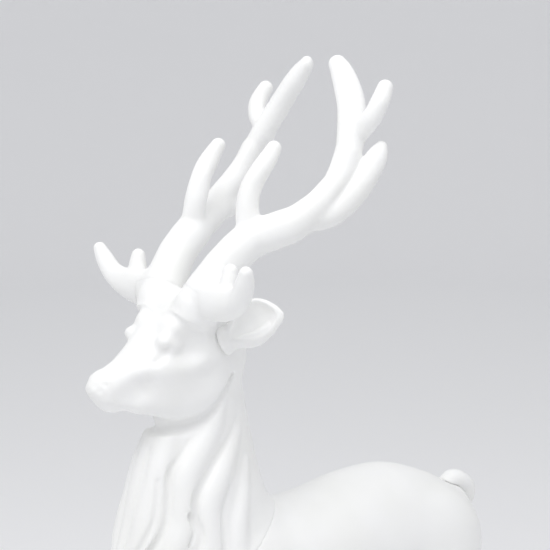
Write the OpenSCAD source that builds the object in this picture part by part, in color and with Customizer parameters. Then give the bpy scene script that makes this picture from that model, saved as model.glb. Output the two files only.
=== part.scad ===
// Light-up yard reindeer: hollow moulded figure with plug-in antlers, bolted neck and legs,
// a twist-in lamp carrier in the belly and ground-peg plugs in the hooves.
// Millimetres, +Z up. The reindeer faces -Y and its left side is +X. The ground is Z = 0.

/* [Figure] */
// Wall thickness of the moulded shells
wall = 3.2; // [2.6:0.1:4.0]
// Sides of the moulded body sections
body_sides = 24; // [20:2:28]
// Steps between two shaping sections
body_steps = 2; // [1:1:3]

/* [Antlers] */
// Antler beam radius at the burr
beam_r = 26; // [22:0.5:28]
// Sides of the antler tubes
antler_sides = 10; // [8:2:12]
// Radius of the antler spigot
spigot_r = 9; // [7:0.5:10]
// Length of the antler spigot below the burr
spigot_len = 42; // [30:1:44]

/* [Joints] */
// Gap round a push-in leg or ring
push_gap = 0.3; // [0.2:0.05:0.5]
// Height of the leg spigot inside the body stub
leg_plug = 28; // [20:1:30]
// Radius of a fixing screw's shank
screw_r = 2; // [1.5:0.25:2.5]

/* [Hooves] */
// Ground peg bore radius
peg_r = 4.5; // [3.5:0.25:5.5]
// Ground peg bore depth
peg_depth = 28; // [20:1:29]

/* [Lamp] */
// Radius of the belly opening in the flange
port_r = 40; // [38:0.5:41]
// Largest radius of the bulb
bulb_r = 24; // [18:0.5:30]
// Timer button radius
button_r = 5; // [4:0.25:5.25]
// Cord inlet bore radius
inlet_r = 3.6; // [3:0.1:4]

/* [Output] */
// Node to draw

/* [Hidden] */

SHELL = [0.95, 0.95, 0.94];
DARK = [0.16, 0.17, 0.18];
GREY = [0.55, 0.56, 0.58];
STEEL = [0.72, 0.73, 0.75];
BRASS = [0.78, 0.62, 0.32];
AMBER = [1.0, 0.93, 0.78];

// Everything is drawn about the figure's own spine, then moved so that Y = 0 is mid-length.
shift_y = -32;

// Neck joint plane: centre, and its tilt about X
joint_c = [0, -150, 515];
joint_tilt = 32;

// Leg positions at their joint with the body
front_top = [58, -112, 320];
rear_top = [64, 284, 300];
front_foot = [58, -126, 0];
rear_foot = [64, 288, 0];

// Antler seat: centre of the burr and direction of the spigot
burr = [52, -167, 898];
burr_dir = [0.24, 0.50, 0.832];

// Belly opening, and the flange round it
port = [0, 60, 366];
flange_r = 62;

// Ear root and the way the ear points
ear_root = [46, -148, 828];
ear_dir = [0.682, 0.598, 0.42];

// Tail root socket
tail_root = [0, 300, 532];

// Junction box: middle of its base, and the foot that stands in the torso's floor
junction_at = [0, -20, 368.5];
foot_size = [18, 20, 8];
foot_drop = 7.5;

// ---------- shaping helpers ----------

function unit(v) = v / norm(v);

function blend(a, b, c, d, t) =
  0.5 * (2 * b + (c - a) * t + (2 * a - 5 * b + 4 * c - d) * t * t + (3 * b - a - 3 * c + d) * t * t * t);

function row_at(rows, s) =
  let (m = len(rows) - 1, i = min(max(floor(s), 0), m - 1))
  blend(rows[max(i - 1, 0)], rows[i], rows[i + 1], rows[min(i + 2, m)], s - i);

function smooth(rows, n) = [for (k = [0:(len(rows) - 1) * n]) row_at(rows, k / n)];

// A row is x, y, z, pitch, half width, half height above and half height below.
function up(row) = [0, sin(row[3]), cos(row[3])];

function on_row(row, a, lift = 0) =
  [row[0], row[1], row[2]] + [1, 0, 0] * (row[4] + lift) * cos(a)
  + up(row) * ((sin(a) >= 0 ? row[5] : row[6]) + lift) * sin(a);

function section(row, n, lift = 0) = [for (k = [0:n - 1]) on_row(row, 360 * k / n, lift)];

module skin(rings) {
  n = len(rings[0]);
  m = len(rings);
  points = [for (r = rings) each r];
  sides = [for (i = [0:m - 2]) for (k = [0:n - 1])
    let (a = i * n + k, b = i * n + (k + 1) % n, c = a + n, d = b + n)
    each [[a, d, b], [a, c, d]]];
  first = [[for (k = [0:n - 1]) k]];
  last = [[for (k = [n - 1:-1:0]) (m - 1) * n + k]];
  polyhedron(points, concat(sides, first, last));
}

module body(rows, n, steps, lift = 0) {
  skin([for (row = smooth(rows, steps)) section(row, n, lift)]);
}

// A round tube along a smooth path of x, y, z, radius rows
function tangents(p) =
  [for (i = [0:len(p) - 1]) let (a = p[max(i - 1, 0)], b = p[min(i + 1, len(p) - 1)])
    unit([b[0] - a[0], b[1] - a[1], b[2] - a[2]])];

function carried(t, i, v) =
  let (w = unit(v - t[i] * (v * t[i]))) i == len(t) - 1 ? [w] : concat([w], carried(t, i + 1, w));

module tube(rows, n, steps, lift = 0, start = [1, 0, 0]) {
  p = smooth(rows, steps);
  t = tangents(p);
  side = carried(t, 0, start);
  skin([for (i = [0:len(p) - 1]) let (w = cross(t[i], side[i]), r = p[i][3] + lift)
    [for (k = [0:n - 1]) [p[i][0], p[i][1], p[i][2]]
      + r * (side[i] * cos(360 * k / n) + w * sin(360 * k / n))]]);
}

module egg(c, r, n = 16) {
  translate(c)
    scale(r)
      sphere(1, $fn = n);
}

module pearl_chain(points, n) {
  for (i = [0:len(points) - 2])
    hull() {
      egg(points[i][0], points[i][1], n);
      egg(points[i + 1][0], points[i + 1][1], n);
    }
}

module both_sides() {
  children();
  mirror([1, 0, 0])
    children();
}

module placed() {
  translate([0, shift_y, 0])
    children();
}

// Stands the local Z axis along d, at c.
module along(c, d) {
  u = unit(d);
  translate(c)
    rotate([0, acos(u[2]), atan2(u[1], u[0])])
      children();
}

// Half space on one side of the neck joint plane
module beyond_joint(side, inset = 0) {
  translate(joint_c)
    rotate([joint_tilt, 0, 0])
      translate([-300, -400, side > 0 ? inset : -600 - inset])
        cube([600, 800, 600]);
}

module oval(h, a, b, n = 32) {
  linear_extrude(h)
    scale([a, b])
      circle(1, $fn = n);
}

// ---------- body ----------

torso_rows = [
  [0, 352, 506, 0, 14, 22, 26],
  [0, 344, 502, 0, 46, 44, 56],
  [0, 322, 496, 0, 76, 58, 84],
  [0, 270, 490, 0, 95, 91, 98],
  [0, 197, 484, 0, 97, 118, 92],
  [0, 119, 480, 0, 98, 120, 98],
  [0, 40, 472, 0, 104, 112, 103],
  [0, -40, 462, 0, 104, 120, 108],
  [0, -120, 455, 0, 100, 120, 112],
  [0, -200, 455, 0, 88, 102, 96],
  [0, -252, 460, 0, 66, 72, 64],
  [0, -278, 464, 0, 38, 42, 36],
  [0, -287, 466, 0, 12, 14, 12]
];

front_stub = [
  [52, -104, 535, -90, 26, 46, 42],
  [58, -102, 480, -90, 38, 70, 64],
  [61, -103, 420, -90, 40, 62, 58],
  [61, -107, 378, -90, 34, 46, 44],
  [59, -111, 346, -90, 27, 35, 34],
  [58, -112, 320, -90, 24, 30, 30]
];

rear_stub = [
  [50, 262, 548, -90, 26, 40, 40],
  [57, 256, 490, -90, 38, 72, 62],
  [62, 254, 430, -90, 43, 78, 72],
  [63, 262, 380, -90, 40, 62, 62],
  [64, 272, 340, -90, 33, 48, 48],
  [64, 284, 300, -90, 27, 36, 36]
];

module leg_socket(top, a, b) {
  translate([top[0], top[1], top[2] - 1])
    oval(leg_plug + 4, a - wall - 1.2, b - wall - 1.2, 24);
}

module screw_hole(c, d, r, len) {
  along(c, d)
    translate([0, 0, -len / 2])
      cylinder(h = len, r = r, $fn = 16);
}

module torso_outer() {
  body(torso_rows, body_sides, body_steps);
  both_sides() {
    body(front_stub, 16, 1);
    body(rear_stub, 16, 1);
  }
  // belly boss, haunch and shoulder muscles
  hull() {
    translate([port[0], port[1], port[2]])
      cylinder(h = 8, r = 64, $fn = 32);
    translate([port[0], port[1], port[2] + 40])
      cylinder(h = 6, r = 78, $fn = 32);
  }
  for (a = [45:90:315])
    hull() {
      translate([port[0] + 55 * cos(a), port[1] + 55 * sin(a), port[2]])
        cylinder(h = 20, r = 7, $fn = 12);
      translate([port[0] + 60 * cos(a), port[1] + 60 * sin(a), port[2] + 34])
        sphere(3, $fn = 8);
    }
  both_sides() {
    hull() {
      egg([58, 226, 462], [34, 30, 56], 10);
      egg([54, 282, 470], [34, 28, 48], 10);
    }
    hull() {
      egg([52, -74, 500], [34, 30, 38], 10);
      egg([64, -118, 440], [34, 34, 46], 10);
    }
  }
}

module torso_inner() {
  body(torso_rows, 18, 1, -wall - 0.6);
  both_sides() {
    intersection() {
      body(front_stub, 12, 1, -wall - 1);
      translate([0, -300, front_top[2] + leg_plug + 3])
        cube([200, 400, 300]);
    }
    intersection() {
      body(rear_stub, 12, 1, -wall - 1);
      translate([0, 100, rear_top[2] + leg_plug + 3])
        cube([200, 400, 300]);
    }
  }
}

function joint_screw_at(i) = [[46, 92], [-46, 92], [46, -92], [-46, -92]][i];

module on_joint() {
  translate(joint_c)
    rotate([joint_tilt, 0, 0])
      children();
}

module torso() {
  color(SHELL)
    placed()
      difference() {
        torso_outer();
        beyond_joint(1, -0.2);
        difference() {
          torso_inner();
          beyond_joint(1, -7);
          translate([port[0], port[1], port[2] - 20])
            cylinder(h = 40, r = 64, $fn = 32);
        }
        translate([port[0], port[1], port[2] - 5])
          cylinder(h = 60, r = port_r + 8, $fn = 48);
        // flat that the flange lies against
        translate([port[0], port[1], port[2] - 40])
          cylinder(h = 40, r = flange_r + 4, $fn = 48);
        on_joint()
          translate([0, 0, -30])
            oval(60, 44, 86);
        for (i = [0:3])
          on_joint()
            translate([joint_screw_at(i)[0], joint_screw_at(i)[1], -20])
              cylinder(h = 40, r = screw_r + 0.2, $fn = 16);
        both_sides() {
          leg_socket(front_top, 24, 30);
          leg_socket(rear_top, 27, 36);
          for (s = [-1, 1]) {
            screw_hole(front_top + [s * 22, 0, 15], [s, 0, 0], screw_r + 0.1, 30);
            screw_hole(rear_top + [s * 25, 0, 15], [s, 0, 0], screw_r + 0.1, 34);
          }
        }
        for (a = [45:90:315])
          translate([port[0] + 55 * cos(a), port[1] + 55 * sin(a), port[2] - 1])
            cylinder(h = 16, r = screw_r + 0.1, $fn = 16);
        // pocket for the junction box's foot
        translate(junction_at - [foot_size[0] / 2 + 0.15, foot_size[1] / 2 + 0.15, foot_drop + 0.1])
          cube(foot_size + [0.3, 0.3, 4]);
        // tail root socket
        translate(tail_root)
          rotate([-78, 0, 0])
            cylinder(h = 70, r = 8.3, $fn = 20);
      }
}

// ---------- neck and head ----------

neck_rows = [
  [0, -134, 490, 58, 99, 140, 140],
  [0, -150, 515, 58, 97, 141, 144],
  [0, -160, 600, 72, 80, 114, 118],
  [0, -157, 665, 85, 62, 95, 92],
  [0, -144, 716, 90, 51, 76, 70],
  [0, -136, 770, 90, 48, 56, 58],
  [0, -128, 820, 80, 46, 44, 48]
];

head_rows = [
  [0, -84, 846, -38, 22, 20, 24],
  [0, -100, 842, -38, 46, 44, 52],
  [0, -128, 832, -38, 59, 72, 80],
  [0, -160, 814, -38, 58, 78, 88],
  [0, -192, 797, -38, 50, 68, 80],
  [0, -232, 777, -38, 38, 52, 54],
  [0, -268, 768, -38, 29, 44, 32],
  [0, -292, 768, -38, 26, 31, 25],
  [0, -307, 769, -38, 17, 20, 17],
  [0, -314, 768, -38, 6, 8, 7]
];

// Each lock of the mane runs down the neck: place along the neck, angle round it, radius
mane_locks = [
  [[4.5, -74, 10], [3.6, -82, 19], [2.6, -84, 24], [1.8, -82, 22], [1.0, -78, 13]],
  [[4.7, -44, 9], [3.8, -58, 19], [2.7, -62, 25], [1.8, -56, 24], [0.9, -46, 13]],
  [[4.7, -14, 7], [3.9, -26, 17], [2.9, -34, 24], [2.0, -30, 24], [1.1, -16, 12]],
  [[4.2, 14, 5], [3.4, 6, 13], [2.6, -4, 18], [1.9, -6, 18], [1.2, 4, 9]]
];

module lock(path) {
  tube([for (k = [0:len(path) - 1])
    let (q = on_row(row_at(neck_rows, path[k][0]), path[k][1], -0.45 * path[k][2]))
    [q[0], q[1], q[2], path[k][2]]], 8, 1, 0, [0, 0, 1]);
}

module head_outer() {
  body(head_rows, body_sides, body_steps);
  both_sides() {
    // brow, cheek, jaw corner and lip
    hull() {
      egg([40, -196, 848], [16, 16, 13], 12);
      egg([36, -228, 836], [12, 12, 10], 12);
    }
    hull() {
      egg([38, -150, 790], [20, 34, 32], 12);
      egg([34, -120, 765], [14, 20, 18], 12);
    }
    hull() {
      egg([14, -290, 762], [11, 14, 10], 10);
      egg([10, -276, 752], [9, 14, 8], 10);
    }
    // antler pedicle
    hull() {
      egg([38, -192, 862], [20, 20, 14], 14);
      along(burr, burr_dir)
        translate([0, 0, -9])
          cylinder(h = 9, r = 22, $fn = 24);
    }
    // ear root
    hull() {
      egg([46, -146, 830], [14, 14, 14], 10);
      egg([52, -140, 836], [12, 12, 12], 10);
    }
  }
}

module antler_seat_cut() {
  along(burr, burr_dir) {
    translate([0, 0, -spigot_len - 4])
      cylinder(h = spigot_len + 30, r = spigot_r + 3.2, $fn = 32);
    translate([0, 0, -0.2])
      cylinder(h = 60, r = 40, $fn = 24);
  }
}

module neck_and_head() {
  color(SHELL)
    placed()
      difference() {
        union() {
          body(neck_rows, body_sides, body_steps);
          for (path = mane_locks)
            both_sides()
              lock(path);
          head_outer();
        }
        beyond_joint(-1, -0.2);
        difference() {
          union() {
            body(neck_rows, 16, 1, -wall - 0.8);
            body([for (i = [1:6]) head_rows[i]], 14, 1, -wall - 1.8);
          }
          beyond_joint(-1, -7);
          // solid seats for the antler sockets
          both_sides()
            along(burr, burr_dir)
              translate([0, 0, -spigot_len - 8])
                cylinder(h = spigot_len + 8, r = spigot_r + 7, $fn = 16);
          both_sides()
            along(ear_root, ear_dir)
              translate([0, 0, -12])
                cylinder(h = 30, r = 12, $fn = 12);
        }
        on_joint()
          translate([0, 0, -30])
            oval(60, 44, 86);
        for (i = [0:3])
          on_joint()
            translate([joint_screw_at(i)[0], joint_screw_at(i)[1], -20])
              cylinder(h = 31, r = screw_r + 0.1, $fn = 16);
        both_sides() {
          antler_seat_cut();
          // ear socket
          along(ear_root, ear_dir)
            translate([0, 0, -4])
              cylinder(h = 40, r = 6.3, $fn = 20);
          along(ear_root, ear_dir)
            translate([0, 0, 12.8])
              cylinder(h = 40, r = 22, $fn = 16);
          // eye hollow, nostril and mouth line
          difference() {
            egg([59, -212, 828], [15, 13, 11], 16);
            egg([48, -206, 828], [11, 11, 9], 14);
          }
          hull() {
            egg([19, -308, 778], [4, 5, 3.5], 10);
            egg([25, -300, 788], [4, 4, 3], 10);
          }
          hull() {
            egg([20, -304, 760], [7, 3, 1.2], 8);
            egg([32, -262, 752], [7, 3, 1.2], 8);
          }
        }
      }
}

// ---------- ears and tail ----------

ear_outer = [
  [[2, 0, 0], [9, 9, 9]],
  [[26, 0, -1], [16, 20, 11]],
  [[50, 1, -2], [17, 27, 12]],
  [[72, 2, -1], [15, 20, 10]],
  [[90, 3, 1], [9, 9, 6]]
];

ear_bowl = [
  [[20, 0, 9], [9, 8, 7]],
  [[32, 0, 10], [12, 13, 11]],
  [[50, 1, 10], [12, 19, 12]],
  [[68, 2, 9], [11, 13, 10]],
  [[80, 3, 8], [6, 6, 6]]
];

module ear() {
  // local X runs out along the ear, local Y across it and local Z out of its hollow
  multmatrix([
    [0.682, -0.33, 0.652, 53],
    [0.598, -0.26, -0.757, -142],
    [0.42, 0.906, 0.02, 832],
    [0, 0, 0, 1]
  ])
    difference() {
      pearl_chain(ear_outer, 12);
      pearl_chain(ear_bowl, 12);
      translate([-40, -60, -60])
        cube([43, 120, 120]);
    }
}

module ear_peg() {
  along(ear_root, ear_dir)
    translate([0, 0, -2])
      cylinder(h = 24, r = 6, $fn = 20);
}

module ear_left() {
  color(SHELL)
    placed()
      union() {
        ear();
        ear_peg();
      }
}

module ear_right() {
  color(SHELL)
    placed()
      mirror([1, 0, 0])
        union() {
          ear();
          ear_peg();
        }
}

tail_beads = [
  [[0, 330, 553], [13, 10, 13]],
  [[0, 340, 554], [18, 12, 15]],
  [[0, 352, 551], [20, 13, 16]],
  [[0, 364, 543], [18, 13, 17]],
  [[0, 372, 531], [14, 11, 17]],
  [[0, 375, 518], [9, 9, 13]]
];

module tail() {
  color(SHELL)
    placed()
      difference() {
        union() {
          difference() {
            pearl_chain(tail_beads, 10);
            body(torso_rows, body_sides, body_steps, 0.3);
          }
          translate(tail_root)
            rotate([-78, 0, 0])
              translate([0, 0, 8])
                cylinder(h = 40, r = 8, $fn = 20);
        }
        for (s = [-1, 1])
          hull() {
            egg([s * 9, 352, 568], [1.5, 10, 2.5], 8);
            egg([s * 7, 376, 548], [1.5, 8, 4], 8);
          }
        hull() {
          egg([0, 350, 569], [1.5, 10, 2.5], 8);
          egg([0, 378, 548], [1.5, 8, 4], 8);
        }
      }
}

// ---------- antlers ----------

beam = [
  [49, -174, 887, 24], [52, -167, 900, 26], [64, -137, 942, 26], [71, -106, 969, 25], [89, -77, 983, 24],
  [110, -50, 991, 22], [120, -15, 1014, 21], [121, 13, 1051, 20], [116, 33, 1087, 19],
  [106, 45, 1122, 18.5], [87, 57, 1155, 17], [61, 67, 1193, 14.5], [44, 71, 1216, 12], [40, 71.5, 1221, 7]
];

tines = [
  [[60, -152, 918, 20], [84, -166, 903, 18], [110, -175, 894, 17], [140, -181, 897, 15.5],
   [162, -185, 909, 14.5], [178, -189, 928, 13.5], [188, -193, 946, 12], [190, -194, 952, 6]],
  [[96, -170, 898, 13], [110, -173, 906, 14], [116, -171, 922, 13],
   [117, -169, 937, 11.5], [117, -168, 943, 6]],
  [[74, -104, 966, 18], [66, -102, 992, 16], [61, -100, 1030, 15], [62, -86, 1068, 14],
   [69, -71, 1093, 12], [70, -69, 1099, 6]],
  [[113, -24, 1010, 15], [120, 2, 1020, 15.5], [127, 28, 1039, 15], [131, 54, 1069, 14],
   [133, 72, 1095, 12], [133.5, 74, 1099, 6]],
  [[106, 50, 1118, 14], [115, 61, 1139, 16], [127, 65, 1151, 15], [139, 73, 1170, 13], [143, 77, 1177, 6]]
];

module antler() {
  difference() {
    union() {
      tube(beam, antler_sides, 2);
      for (t = tines)
        tube(t, 8, 1);
      // web between the two brow points
      hull() {
        egg([98, -171, 897], [16, 12, 9], 10);
        egg([126, -178, 899], [14, 10, 9], 10);
      }
      // burr
      for (i = [0:9])
        hull()
          for (k = [0:1])
            along(burr, burr_dir)
              rotate([0, 0, 36 * (i + k)])
                translate([beam_r - 1, 0, 4])
                  sphere(4.4, $fn = 6);
    }
    // flat seat and light channel
    along(burr, burr_dir) {
      translate([0, 0, -60])
        cylinder(h = 60, r = 60, $fn = 16);
      translate([0, 0, -1])
        cylinder(h = 26, r = spigot_r + 0.05, $fn = 40);
      translate([0, 0, 20])
        cylinder(h = 44, r = 6, $fn = 10);
    }
    tube([for (i = [2:10]) beam[i]], 8, 1, -4);
  }
}

module antler_left() {
  color(SHELL)
    placed()
      antler();
}

module antler_right() {
  color(SHELL)
    placed()
      mirror([1, 0, 0])
        antler();
}

module spigot() {
  along(burr, burr_dir)
    difference() {
      translate([0, 0, -spigot_len])
        cylinder(h = spigot_len + 24, r = spigot_r, $fn = 64);
      translate([0, 0, -spigot_len - 1])
        cylinder(h = spigot_len + 26, r = spigot_r - 2.2, $fn = 64);
    }
}

module antler_spigot_left() {
  color(GREY)
    placed()
      spigot();
}

module antler_spigot_right() {
  color(GREY)
    placed()
      mirror([1, 0, 0])
        spigot();
}

module socket() {
  along(burr, burr_dir)
    difference() {
      translate([0, 0, -spigot_len - 3.5])
        cylinder(h = spigot_len + 3.2, r = spigot_r + 2.9, $fn = 64);
      translate([0, 0, -spigot_len - 0.5])
        cylinder(h = spigot_len + 2, r = spigot_r + 0.08, $fn = 64);
      translate([0, 0, -spigot_len - 5])
        cylinder(h = 10, r = spigot_r - 3, $fn = 64);
    }
}

module antler_socket_left() {
  color(DARK)
    placed()
      socket();
}

module antler_socket_right() {
  color(DARK)
    placed()
      mirror([1, 0, 0])
        socket();
}

// ---------- legs ----------

front_leg = [
  [58, -112, 320, -90, 24, 30, 30],
  [58, -113, 280, -90, 21.5, 26, 26],
  [58, -116, 232, -90, 19.5, 22, 22],
  [58, -119, 202, -90, 21, 24, 20],
  [58, -117, 168, -90, 17.5, 19, 19],
  [58, -114, 112, -90, 15.5, 17, 17],
  [58, -113, 72, -90, 17, 18, 19],
  [58, -114, 54, -90, 19.5, 21, 22],
  [58, -119, 38, -90, 18.5, 22, 19],
  [58, -122, 27, -90, 22, 29, 22],
  [58, -126, 3, -90, 26, 38, 27],
  [58, -126, 0, -90, 25, 37, 26]
];

rear_leg = [
  [64, 284, 300, -90, 27, 36, 36],
  [64, 300, 262, -90, 22, 30, 28],
  [64, 314, 228, -90, 21, 27, 25],
  [64, 314, 194, -90, 18, 21, 19],
  [64, 309, 138, -90, 15.5, 17.5, 17.5],
  [64, 303, 78, -90, 17, 19, 19],
  [64, 301, 56, -90, 20, 21, 23],
  [64, 296, 39, -90, 18.5, 22, 20],
  [64, 292, 27, -90, 22, 29, 22],
  [64, 288, 3, -90, 26, 38, 27],
  [64, 288, 0, -90, 25, 37, 26]
];

module leg(rows, top, foot, a, b) {
  difference() {
    union() {
      body(rows, 14, 1);
      translate([top[0], top[1], top[2] - 4])
        oval(leg_plug + 4, a - wall - 1.2 - push_gap, b - wall - 1.2 - push_gap, 24);
      // stiffening ribs in the plug
      for (q = [0:3])
        hull()
          for (k = [0, 1])
            translate(top + [(q % 2 * 2 - 1) * (a - wall - 7), q > 1 ? 8 : -10, k * 20 - 4])
              cube([3 - k, 2, 4]);
      // dewclaws
      for (s = [-1, 1])
        hull() {
          egg([foot[0] + s * 11, foot[1] + 31, 54], [6, 6, 7], 8);
          egg([foot[0] + s * 12, foot[1] + 33, 44], [4.5, 4.5, 6], 8);
        }
    }
    // hollow core down to the hoof
    body([for (i = [0:len(rows) - 5]) rows[i]], 8, 1, -wall - 1.2);
    translate([top[0], top[1], top[2] - 12])
      oval(leg_plug + 30, a - wall - 5, b - wall - 5, 20);
    // peg plug seat
    translate([foot[0], foot[1] + 4, -1])
      cylinder(h = 36.1, r = 11.1, $fn = 32);
    // cleft, front and back
    hull() {
      translate([foot[0] - 3, foot[1] - 50, -2])
        cube([6, 24, 4]);
      translate([foot[0] - 0.6, foot[1] - 50, 24])
        cube([1.2, 16, 4]);
    }
    hull() {
      translate([foot[0] - 1.5, foot[1] + 21, -2])
        cube([3, 12, 3]);
      translate([foot[0] - 0.5, foot[1] + 21, 14])
        cube([1, 12, 3]);
    }
    // screw holes in the plug
    for (s = [-1, 1])
      screw_hole(top + [s * (a - 3), 0, 15], [s, 0, 0], screw_r + 0.05, 26);
  }
}

module leg_front_left() {
  color(SHELL)
    placed()
      leg(front_leg, front_top, front_foot, 24, 30);
}

module leg_front_right() {
  color(SHELL)
    placed()
      mirror([1, 0, 0])
        leg(front_leg, front_top, front_foot, 24, 30);
}

module leg_rear_left() {
  color(SHELL)
    placed()
      leg(rear_leg, rear_top, rear_foot, 27, 36);
}

module leg_rear_right() {
  color(SHELL)
    placed()
      mirror([1, 0, 0])
        leg(rear_leg, rear_top, rear_foot, 27, 36);
}

module hoof_plug(foot) {
  color(DARK)
    placed()
      translate([foot[0], foot[1] + 4, 0])
        difference() {
          translate([0, 0, 0.4])
            cylinder(h = 34, r = 11, $fn = 48);
          translate([0, 0, -1])
            cylinder(h = peg_depth + 1.4, r = peg_r, $fn = 48);
          translate([0, 0, -0.1])
            cylinder(h = 2, r1 = peg_r + 2, r2 = peg_r, $fn = 48);
        }
}

module hoof_plug_front_left() {
  hoof_plug(front_foot);
}

module hoof_plug_front_right() {
  hoof_plug([-front_foot[0], front_foot[1], 0]);
}

module hoof_plug_rear_left() {
  hoof_plug(rear_foot);
}

module hoof_plug_rear_right() {
  hoof_plug([-rear_foot[0], rear_foot[1], 0]);
}

// ---------- fixings ----------

module neck_joint_ring() {
  // the bore has flat facets, so the ring gives them room
  gap = push_gap + 0.4;
  color(GREY)
    placed()
      on_joint()
        difference() {
          translate([0, 0, -16])
            linear_extrude(32)
              scale([44 - gap, 86 - gap])
                circle(1, $fn = 96);
          translate([0, 0, -17])
            linear_extrude(34)
              scale([39.5, 81.5])
                circle(1, $fn = 96);
        }
}

// Pan-head screw with its head at the origin and its shank along -Z
module screw(len) {
  difference() {
    union() {
      translate([0, 0, -len])
        cylinder(h = len + 1, r = screw_r, $fn = 32);
      cylinder(h = 1.4, r = screw_r * 2.1, $fn = 32);
      translate([0, 0, 1.4])
        cylinder(h = 1.1, r1 = screw_r * 2.1, r2 = screw_r * 1.4, $fn = 32);
    }
    for (a = [0, 90])
      rotate([0, 0, a])
        translate([-screw_r, -0.4, 1.5])
          cube([2 * screw_r, 0.8, 2]);
  }
}

module neck_screws() {
  color(STEEL)
    placed()
      for (i = [0:3])
        on_joint()
          translate([joint_screw_at(i)[0], joint_screw_at(i)[1], -7.25])
            rotate([180, 0, 0])
              screw(16);
}

module leg_screws() {
  color(STEEL)
    placed()
      both_sides()
        for (s = [-1, 1]) {
          along(front_top + [s * 27.6, 0, 15], [s, 0, 0])
            screw(13.4);
          along(rear_top + [s * 30.4, 0, 15], [s, 0, 0])
            screw(12);
        }
}

module belly_flange() {
  color(GREY)
    placed()
      translate(port)
        difference() {
          union() {
            translate([0, 0, -4])
              cylinder(h = 4, r = flange_r, $fn = 96);
            cylinder(h = 18, r = port_r + 7.6, $fn = 96);
          }
          translate([0, 0, -5])
            cylinder(h = 30, r = port_r, $fn = 96);
          cylinder(h = 30, r = port_r + 4, $fn = 96);
          // three gates that let the carrier's lugs in
          for (a = [40:120:280])
            rotate([0, 0, a])
              translate([0, 0, -5])
                rotate_extrude(angle = 32, $fn = 96)
                  translate([port_r - 1, 0])
                    square([4.6, 20]);
          for (a = [45:90:315])
            translate([55 * cos(a), 55 * sin(a), -5])
              cylinder(h = 12, r = screw_r + 0.2, $fn = 32);
        }
}

module flange_screws() {
  color(STEEL)
    placed()
      for (a = [45:90:315])
        translate([port[0] + 55 * cos(a), port[1] + 55 * sin(a), port[2] - 4.05])
          rotate([180, 0, 0])
            screw(16);
}

// ---------- lamp ----------

button_at = [0, 26];
inlet_at = [0, -27];

module lamp_carrier() {
  color(DARK)
    placed()
      translate(port)
        difference() {
          union() {
            translate([0, 0, -9])
              cylinder(h = 4.8, r = port_r + 6, $fn = 96);
            translate([0, 0, -5])
              cylinder(h = 9, r = port_r - 0.6, $fn = 96);
            for (a = [2:120:242])
              rotate([0, 0, a])
                translate([0, 0, 0.3])
                  rotate_extrude(angle = 28, $fn = 96)
                    translate([port_r - 3, 0])
                      square([6, 3.6]);
            // grip bar
            translate([-30, -5, -19])
              cube([60, 10, 12]);
          }
          translate([0, 0, -2])
            cylinder(h = 12, r = port_r - 4, $fn = 96);
          // gasket groove
          translate([0, 0, -5.2])
            difference() {
              cylinder(h = 2, r = port_r + 4.5, $fn = 96);
              translate([0, 0, -1])
                cylinder(h = 4, r = port_r + 1.5, $fn = 96);
            }
          translate([button_at[0], button_at[1], -20])
            cylinder(h = 30, r = button_r + 0.06, $fn = 64);
          translate([inlet_at[0], inlet_at[1], -20])
            cylinder(h = 30, r = 6.05, $fn = 64);
        }
}

module carrier_gasket() {
  color([0.1, 0.1, 0.1])
    placed()
      translate([port[0], port[1], port[2] - 4.62])
        rotate_extrude($fn = 96)
          translate([port_r + 3, 0])
            circle(0.55, $fn = 24);
}

module lamp_holder() {
  color(DARK)
    placed()
      translate([port[0], port[1], port[2] - 2])
        difference() {
          union() {
            cylinder(h = 34, r = 16.5, $fn = 64);
            for (s = [-1, 1])
              translate([s * 20 - 6, -5, 0])
                cube([12, 10, 4]);
          }
          translate([0, 0, 8])
            cylinder(h = 30, r = 13.4, $fn = 64);
        }
}

module bulb_cap() {
  color(BRASS)
    placed()
      translate([port[0], port[1], port[2] + 7.5])
        union() {
          cylinder(h = 3, r1 = 5, r2 = 9, $fn = 48);
          translate([0, 0, 3])
            cylinder(h = 23, r = 12.6, $fn = 48);
          for (i = [0:4])
            translate([0, 0, 5 + 3.6 * i])
              rotate_extrude($fn = 48)
                translate([12.4, 0])
                  circle(0.8, $fn = 16);
        }
}

module led_bulb() {
  color(AMBER)
    placed()
      translate([port[0], port[1], port[2] + 33.6])
        rotate_extrude($fn = 64)
          difference() {
            union() {
              translate([0, 34])
                circle(bulb_r, $fn = 64);
              translate([-12, 0])
                square([24, 16]);
              translate([-12, 10])
                square([24, 14]);
            }
            translate([-60, -10])
              square([60, 90]);
          }
}

module timer_box() {
  color(DARK)
    placed()
      translate([port[0], port[1], port[2] - 2])
        difference() {
          translate([button_at[0] - 9, button_at[1] - 8.4, 0])
            cube([18, 16.4, 12]);
          translate([button_at[0] - 7.5, button_at[1] - 6.9, -1])
            cube([15, 13.4, 10]);
        }
}

module timer_button() {
  color([0.75, 0.12, 0.1])
    placed()
      translate([port[0] + button_at[0], port[1] + button_at[1], port[2]])
        union() {
          translate([0, 0, -12])
            cylinder(h = 11, r = button_r, $fn = 64);
          translate([0, 0, -1.95])
            cylinder(h = 1, r = button_r + 1.1, $fn = 64);
          translate([0, 0, -12.6])
            cylinder(h = 0.7, r1 = button_r - 0.8, r2 = button_r, $fn = 64);
        }
}

module cord_gland() {
  color(DARK)
    placed()
      translate([port[0] + inlet_at[0], port[1] + inlet_at[1], port[2]])
        difference() {
          union() {
            translate([0, 0, -14])
              cylinder(h = 18, r = 6, $fn = 64);
            translate([0, 0, -15])
              cylinder(h = 5.9, r = 9, $fn = 6);
            translate([0, 0, -22])
              cylinder(h = 8, r1 = 6.5, r2 = 8.5, $fn = 48);
            translate([0, 0, -1.9])
              cylinder(h = 3, r = 7.8, $fn = 6);
          }
          translate([0, 0, -30])
            cylinder(h = 50, r = inlet_r, $fn = 64);
        }
}

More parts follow.
